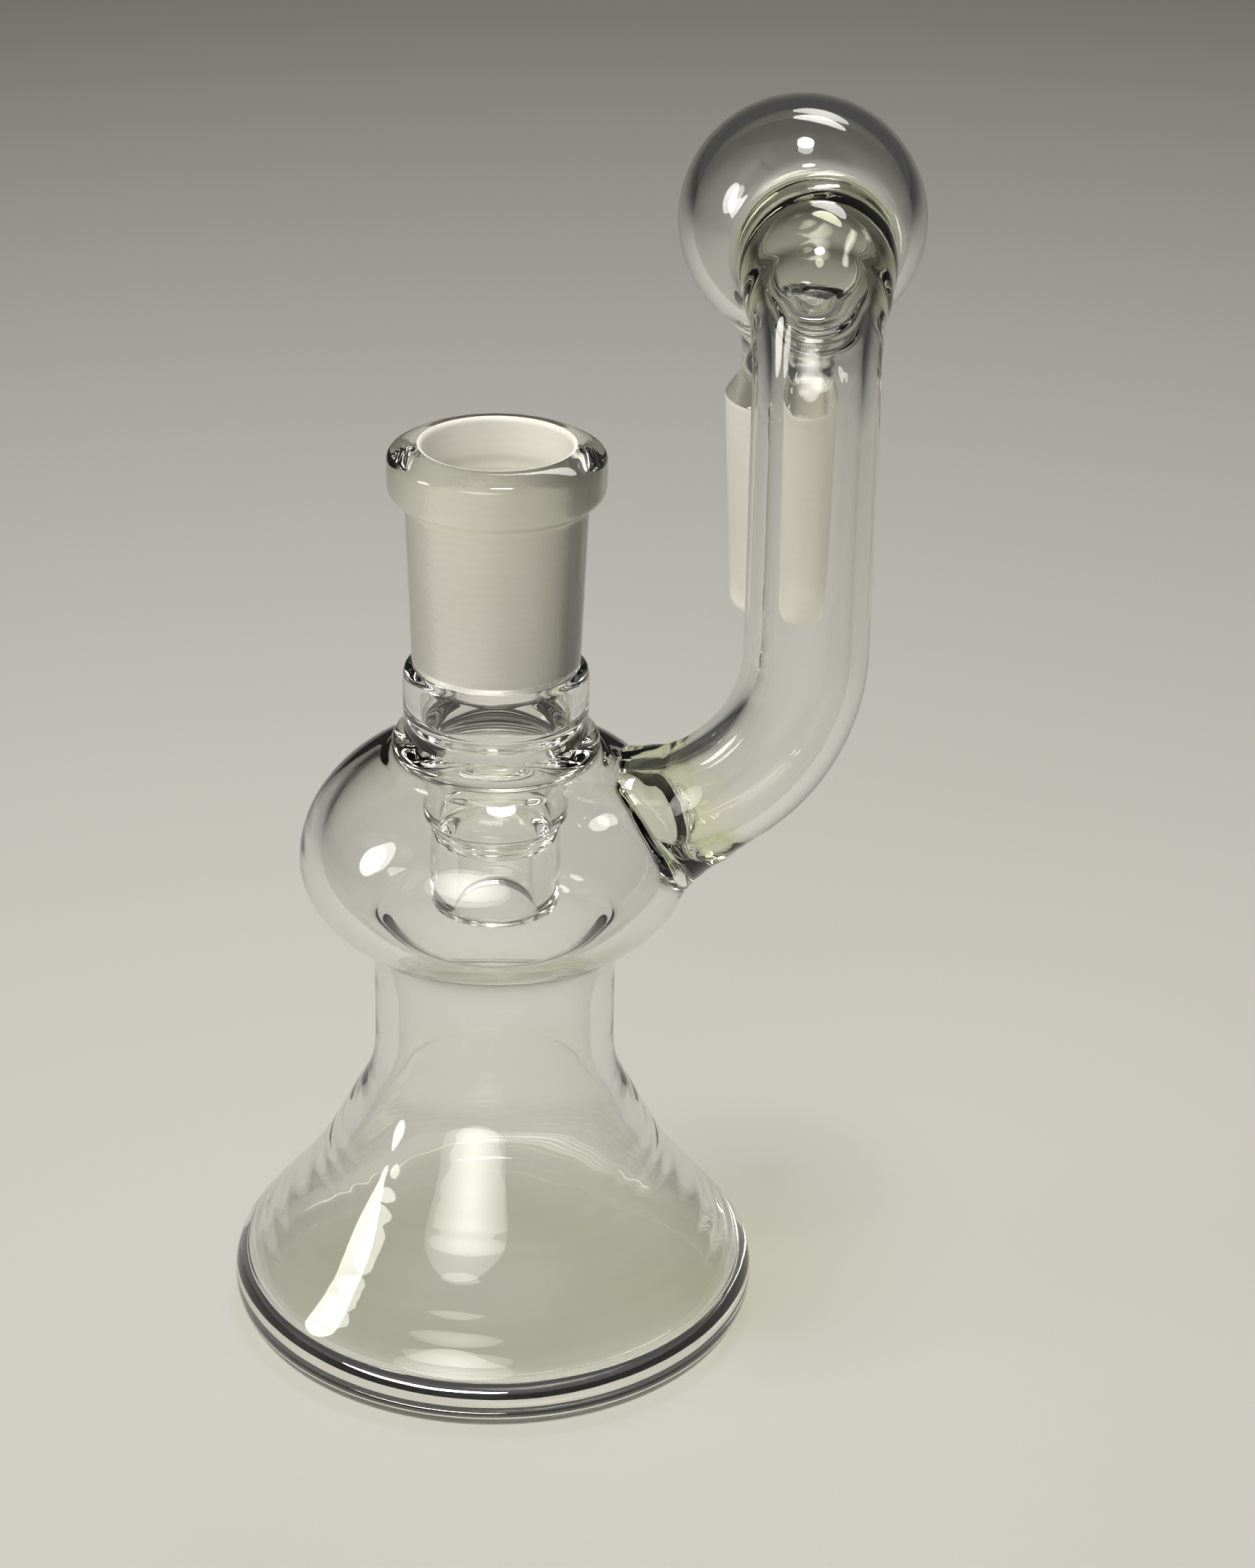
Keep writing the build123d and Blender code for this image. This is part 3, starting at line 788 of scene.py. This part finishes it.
def node_of(tree, kind, **values):
    """A new node, with some of its settings and inputs. An input's spaces are written _ here."""
    made = tree.nodes.new(kind)
    for key, value in values.items():
        if hasattr(made, key):
            setattr(made, key, value)
        else:
            made.inputs[key.replace("_", " ")].default_value = value
    return made


def empty_material(name):
    """A material with an empty node tree."""
    mat = bpy.data.materials.new(name)
    mat.use_nodes = True
    mat.node_tree.nodes.clear()
    return mat


def let_light_through(tree, surface, shade):
    """End the tree with surface, which a shadow ray passes, taking on the colour shade."""
    link = tree.links.new
    path = node_of(tree, "ShaderNodeLightPath")
    passing = node_of(tree, "ShaderNodeBsdfTransparent", Color=(*shade, 1))
    pick = node_of(tree, "ShaderNodeMixShader")
    out = node_of(tree, "ShaderNodeOutputMaterial")
    link(path.outputs["Is Shadow Ray"], pick.inputs[0])
    link(surface.outputs["BSDF"], pick.inputs[1])
    link(passing.outputs["BSDF"], pick.inputs[2])
    link(pick.outputs["Shader"], out.inputs["Surface"])


print("this glass bends light by an index of", BOROSILICATE_IOR)

# %% [markdown]
# The same recipe makes three glasses. The foot, the bead ring and the rim are thick, so their tint
# is stronger. The welds are thickest and were worked most, so they are the most yellow green, and
# their surface is the most uneven. That unevenness is a slow bump, which keeps glass from looking
# moulded.

# %% Clear, thick and weld glass
POLISHED = 0.008
EDGE_START, EDGE_SHARPNESS = 0.4, 2.0
WAVE_STRENGTH = 0.25


def clear_glass(name, face_on, edge_on, wave_scale, wave_height, shade):
    """Clear glass that is face_on coloured in the middle and edge_on coloured along its outline."""
    mat = empty_material(name)
    tree, link = mat.node_tree, mat.node_tree.links.new
    facing = node_of(tree, "ShaderNodeLayerWeight", Blend=EDGE_START)
    along_wall = node_of(tree, "ShaderNodeMath", operation="POWER")
    along_wall.inputs[1].default_value = EDGE_SHARPNESS
    tint = node_of(tree, "ShaderNodeMix", data_type="RGBA", A=(*face_on, 1), B=(*edge_on, 1))
    link(facing.outputs["Facing"], along_wall.inputs[0])
    link(along_wall.outputs["Value"], tint.inputs["Factor"])
    place = node_of(tree, "ShaderNodeTexCoord")
    wave = node_of(tree, "ShaderNodeTexNoise", Scale=wave_scale, Detail=2.0, Roughness=0.4)
    bump = node_of(tree, "ShaderNodeBump", Strength=WAVE_STRENGTH, Distance=wave_height)
    link(place.outputs["Object"], wave.inputs["Vector"])
    link(wave.outputs["Fac"], bump.inputs["Height"])
    surface = node_of(tree, "ShaderNodeBsdfPrincipled", Roughness=POLISHED, IOR=BOROSILICATE_IOR,
                      Transmission_Weight=1.0)
    link(tint.outputs["Result"], surface.inputs["Base Color"])
    link(bump.outputs["Normal"], surface.inputs["Normal"])
    let_light_through(tree, surface, shade)
    return mat


clear = clear_glass("clear_glass", face_on=(0.995, 0.995, 0.982), edge_on=(0.42, 0.44, 0.36),
                    wave_scale=160, wave_height=0.02 * MM, shade=(0.95, 0.953, 0.93))
thick = clear_glass("thick_glass", face_on=(0.985, 0.99, 0.93), edge_on=(0.48, 0.53, 0.29),
                    wave_scale=240, wave_height=0.03 * MM, shade=(0.94, 0.95, 0.90))
weld = clear_glass("weld_glass", face_on=(0.95, 0.97, 0.76), edge_on=(0.50, 0.62, 0.16),
                   wave_scale=420, wave_height=0.1 * MM, shade=(0.90, 0.92, 0.78))
print("made", clear.name + ",", thick.name, "and", weld.name)

# %% [markdown]
# The joints are ground with wet grit against an iron form, which leaves a matt, cream-white face
# with faint rings round it. A rough surface that lets some light through and scatters the rest
# has that look. The rings come from a wave along the height, broken up by noise.

# %% Ground glass
RING_SCALE, GRIT_SCALE, CLOUD_SCALE = 330.0, 5200.0, 180.0
FROST_DARK, FROST_PALE = (0.90, 0.88, 0.79), (1.0, 0.985, 0.92)
RING_SHARE = 0.18
LEAST_ROUGH, MOST_ROUGH = 0.42, 0.62
FROST_TRANSMISSION = 0.34
FROST_SHADE = (0.62, 0.62, 0.58)


def ground_glass(name):
    """Matt glass with faint rings, fine grit and cloudy patches."""
    mat = empty_material(name)
    tree, link = mat.node_tree, mat.node_tree.links.new
    place = node_of(tree, "ShaderNodeTexCoord")
    rings = node_of(tree, "ShaderNodeTexWave", bands_direction="Z", Scale=RING_SCALE,
                    Distortion=5.0, Detail=3.0, Detail_Scale=1.5)
    grit = node_of(tree, "ShaderNodeTexNoise", Scale=GRIT_SCALE, Detail=4.0)
    cloud = node_of(tree, "ShaderNodeTexNoise", Scale=CLOUD_SCALE, Detail=3.0)
    for texture in (rings, grit, cloud):
        link(place.outputs["Object"], texture.inputs["Vector"])
    blend = node_of(tree, "ShaderNodeMix", data_type="FLOAT", Factor=RING_SHARE)
    colour = node_of(tree, "ShaderNodeMix", data_type="RGBA",
                     A=(*FROST_DARK, 1), B=(*FROST_PALE, 1))
    link(cloud.outputs["Fac"], blend.inputs["A"])
    link(rings.outputs["Fac"], blend.inputs["B"])
    link(blend.outputs["Result"], colour.inputs["Factor"])
    rough = node_of(tree, "ShaderNodeMapRange", To_Min=LEAST_ROUGH, To_Max=MOST_ROUGH)
    deep = node_of(tree, "ShaderNodeBump", Strength=0.1, Distance=0.02 * MM)
    fine = node_of(tree, "ShaderNodeBump", Strength=0.6, Distance=0.03 * MM)
    link(rings.outputs["Fac"], rough.inputs["Value"])
    link(rings.outputs["Fac"], deep.inputs["Height"])
    link(grit.outputs["Fac"], fine.inputs["Height"])
    link(deep.outputs["Normal"], fine.inputs["Normal"])
    surface = node_of(tree, "ShaderNodeBsdfPrincipled", IOR=BOROSILICATE_IOR,
                      Transmission_Weight=FROST_TRANSMISSION)
    link(colour.outputs["Result"], surface.inputs["Base Color"])
    link(rough.outputs["Result"], surface.inputs["Roughness"])
    link(fine.outputs["Normal"], surface.inputs["Normal"])
    let_light_through(tree, surface, FROST_SHADE)
    return mat


ground_finish = ground_glass("ground_glass")
print("made", ground_finish.name)

# %% [markdown]
# Now that the finishes exist, each section takes its faces out of the whole skin and becomes a
# piece of its own, which stands for the CAD node of the same name. Nothing on this glass moves, so
# every piece rides on the root.

# %% Part the skin into named pieces
finishes = {"clear": clear, "thick": thick, "weld": weld, "ground": ground_finish}


def part_off(name):
    """The faces of one CAD section as a piece of their own, which stands for that section."""
    kinds = [finish for section, finish in regions if section == name]
    numbers = {regions.index((name, finish)): kinds.index(finish) for finish in kinds}
    points, faces, marks, normals, seen = [], [], [], [], {}
    for face in whole.polygons:
        if face.material_index not in numbers:
            continue
        corners = []
        for loop in face.loop_indices:
            index = whole.loops[loop].vertex_index
            if index not in seen:
                seen[index] = len(points)
                points.append(whole.vertices[index].co)
            corners.append(seen[index])
            normals.append(corner_normals[loop])
        faces.append(corners)
        marks.append(numbers[face.material_index])
    piece = skin(name + "_glass", points, faces, marks)
    for finish in kinds:
        piece.data.materials.append(finishes[finish])
    piece.data.polygons.foreach_set("use_smooth", [True] * len(faces))
    piece.data.normals_split_custom_set(normals)
    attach(piece, "root")
    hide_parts(name)
    return len(faces)


for name in nodes:
    print(name, "takes", part_off(name), "faces")
bpy.data.objects.remove(glass)
bpy.data.meshes.remove(whole)
for mark in region_marks:
    bpy.data.materials.remove(mark)

# %% [markdown]
# ## Floor and light
# Glass is seen by what it reflects and bends. A plain pale floor lies a hair under the foot and
# runs out of sight in every direction, where little light reaches it, and the room round it is
# dark: that is what draws the outlines.

# %% Floor
FLOOR_HALF, FLOOR_DROP = 5.0, 0.05 * MM
FLOOR_COLOUR, FLOOR_ROUGHNESS = (0.52, 0.515, 0.495), 0.6
floor_corners = [(x * FLOOR_HALF, y * FLOOR_HALF, -FLOOR_DROP)
                 for x, y in ((-1, -1), (1, -1), (1, 1), (-1, 1))]
floor_mesh = bpy.data.meshes.new("floor")
floor_mesh.from_pydata(floor_corners, [], [(0, 1, 2, 3)])
floor = bpy.data.objects.new("floor", floor_mesh)
bpy.context.scene.collection.objects.link(floor)
floor_finish = bpy.data.materials.new("floor")
floor_finish.use_nodes = True
floor_shader = floor_finish.node_tree.nodes["Principled BSDF"]
floor_shader.inputs["Base Color"].default_value = (*FLOOR_COLOUR, 1)
floor_shader.inputs["Roughness"].default_value = FLOOR_ROUGHNESS
floor_mesh.materials.append(floor_finish)
print("the floor is", 2 * FLOOR_HALF, "m wide")

# %% [markdown]
# Four soft lights stand round the glass: a small one overhead, a long one high behind it, one low
# on the left, and a broad one in front. They are oval, so that the highlights they leave on the
# round walls are oval too. A narrow spread keeps most of their light near the glass.

# %% Lights
LIT_POINT = Vector((0.005, 0.0, 0.06))
WARM = (1.0, 0.975, 0.92)


def soft_light(name, at, width, height, watts, spread):
    """A soft oval light that looks at the middle of the glass. Its spread is in degrees."""
    data = bpy.data.lights.new(name, "AREA")
    data.shape, data.size, data.size_y = "ELLIPSE", width, height
    data.energy, data.color, data.spread = watts, WARM, radians(spread)
    made = bpy.data.objects.new(name, data)
    turned_to = (LIT_POINT - Vector(at)).to_track_quat("-Z", "Y").to_matrix().to_4x4()
    made.matrix_world = Matrix.Translation(at) @ turned_to
    bpy.context.scene.collection.objects.link(made)
    return made


soft_light("overhead light", (0.03, 0.02, 0.85), 0.16, 0.16, watts=0.74, spread=75)
soft_light("back light", (0.24, 0.75, 0.95), 0.6, 0.22, watts=0.62, spread=90)
soft_light("left light", (-0.85, -0.1, 0.4), 0.22, 0.4, watts=0.5, spread=70)
soft_light("front light", (-0.3, -0.95, 0.55), 1.0, 0.6, watts=1.2, spread=60)

# %% [markdown]
# A path through this glass crosses many walls, so the bounce limits are high enough that no wall
# turns black. Caustics are off, because the shadow rays already carry the light to the floor.

# %% Room and light paths
ROOM_COLOUR, ROOM_STRENGTH = (0.12, 0.12, 0.116), 0.6
world = bpy.data.worlds.new("room")
world.use_nodes = True
background = world.node_tree.nodes["Background"]
background.inputs["Color"].default_value = (*ROOM_COLOUR, 1)
background.inputs["Strength"].default_value = ROOM_STRENGTH
bpy.context.scene.world = world
bpy.context.scene.view_settings.view_transform = "Standard"
paths = bpy.context.scene.cycles
paths.max_bounces = paths.transmission_bounces = 32
paths.glossy_bounces = 8
paths.transparent_max_bounces = 48
paths.caustics_reflective = paths.caustics_refractive = False
print("a path may cross", paths.transmission_bounces, "walls")
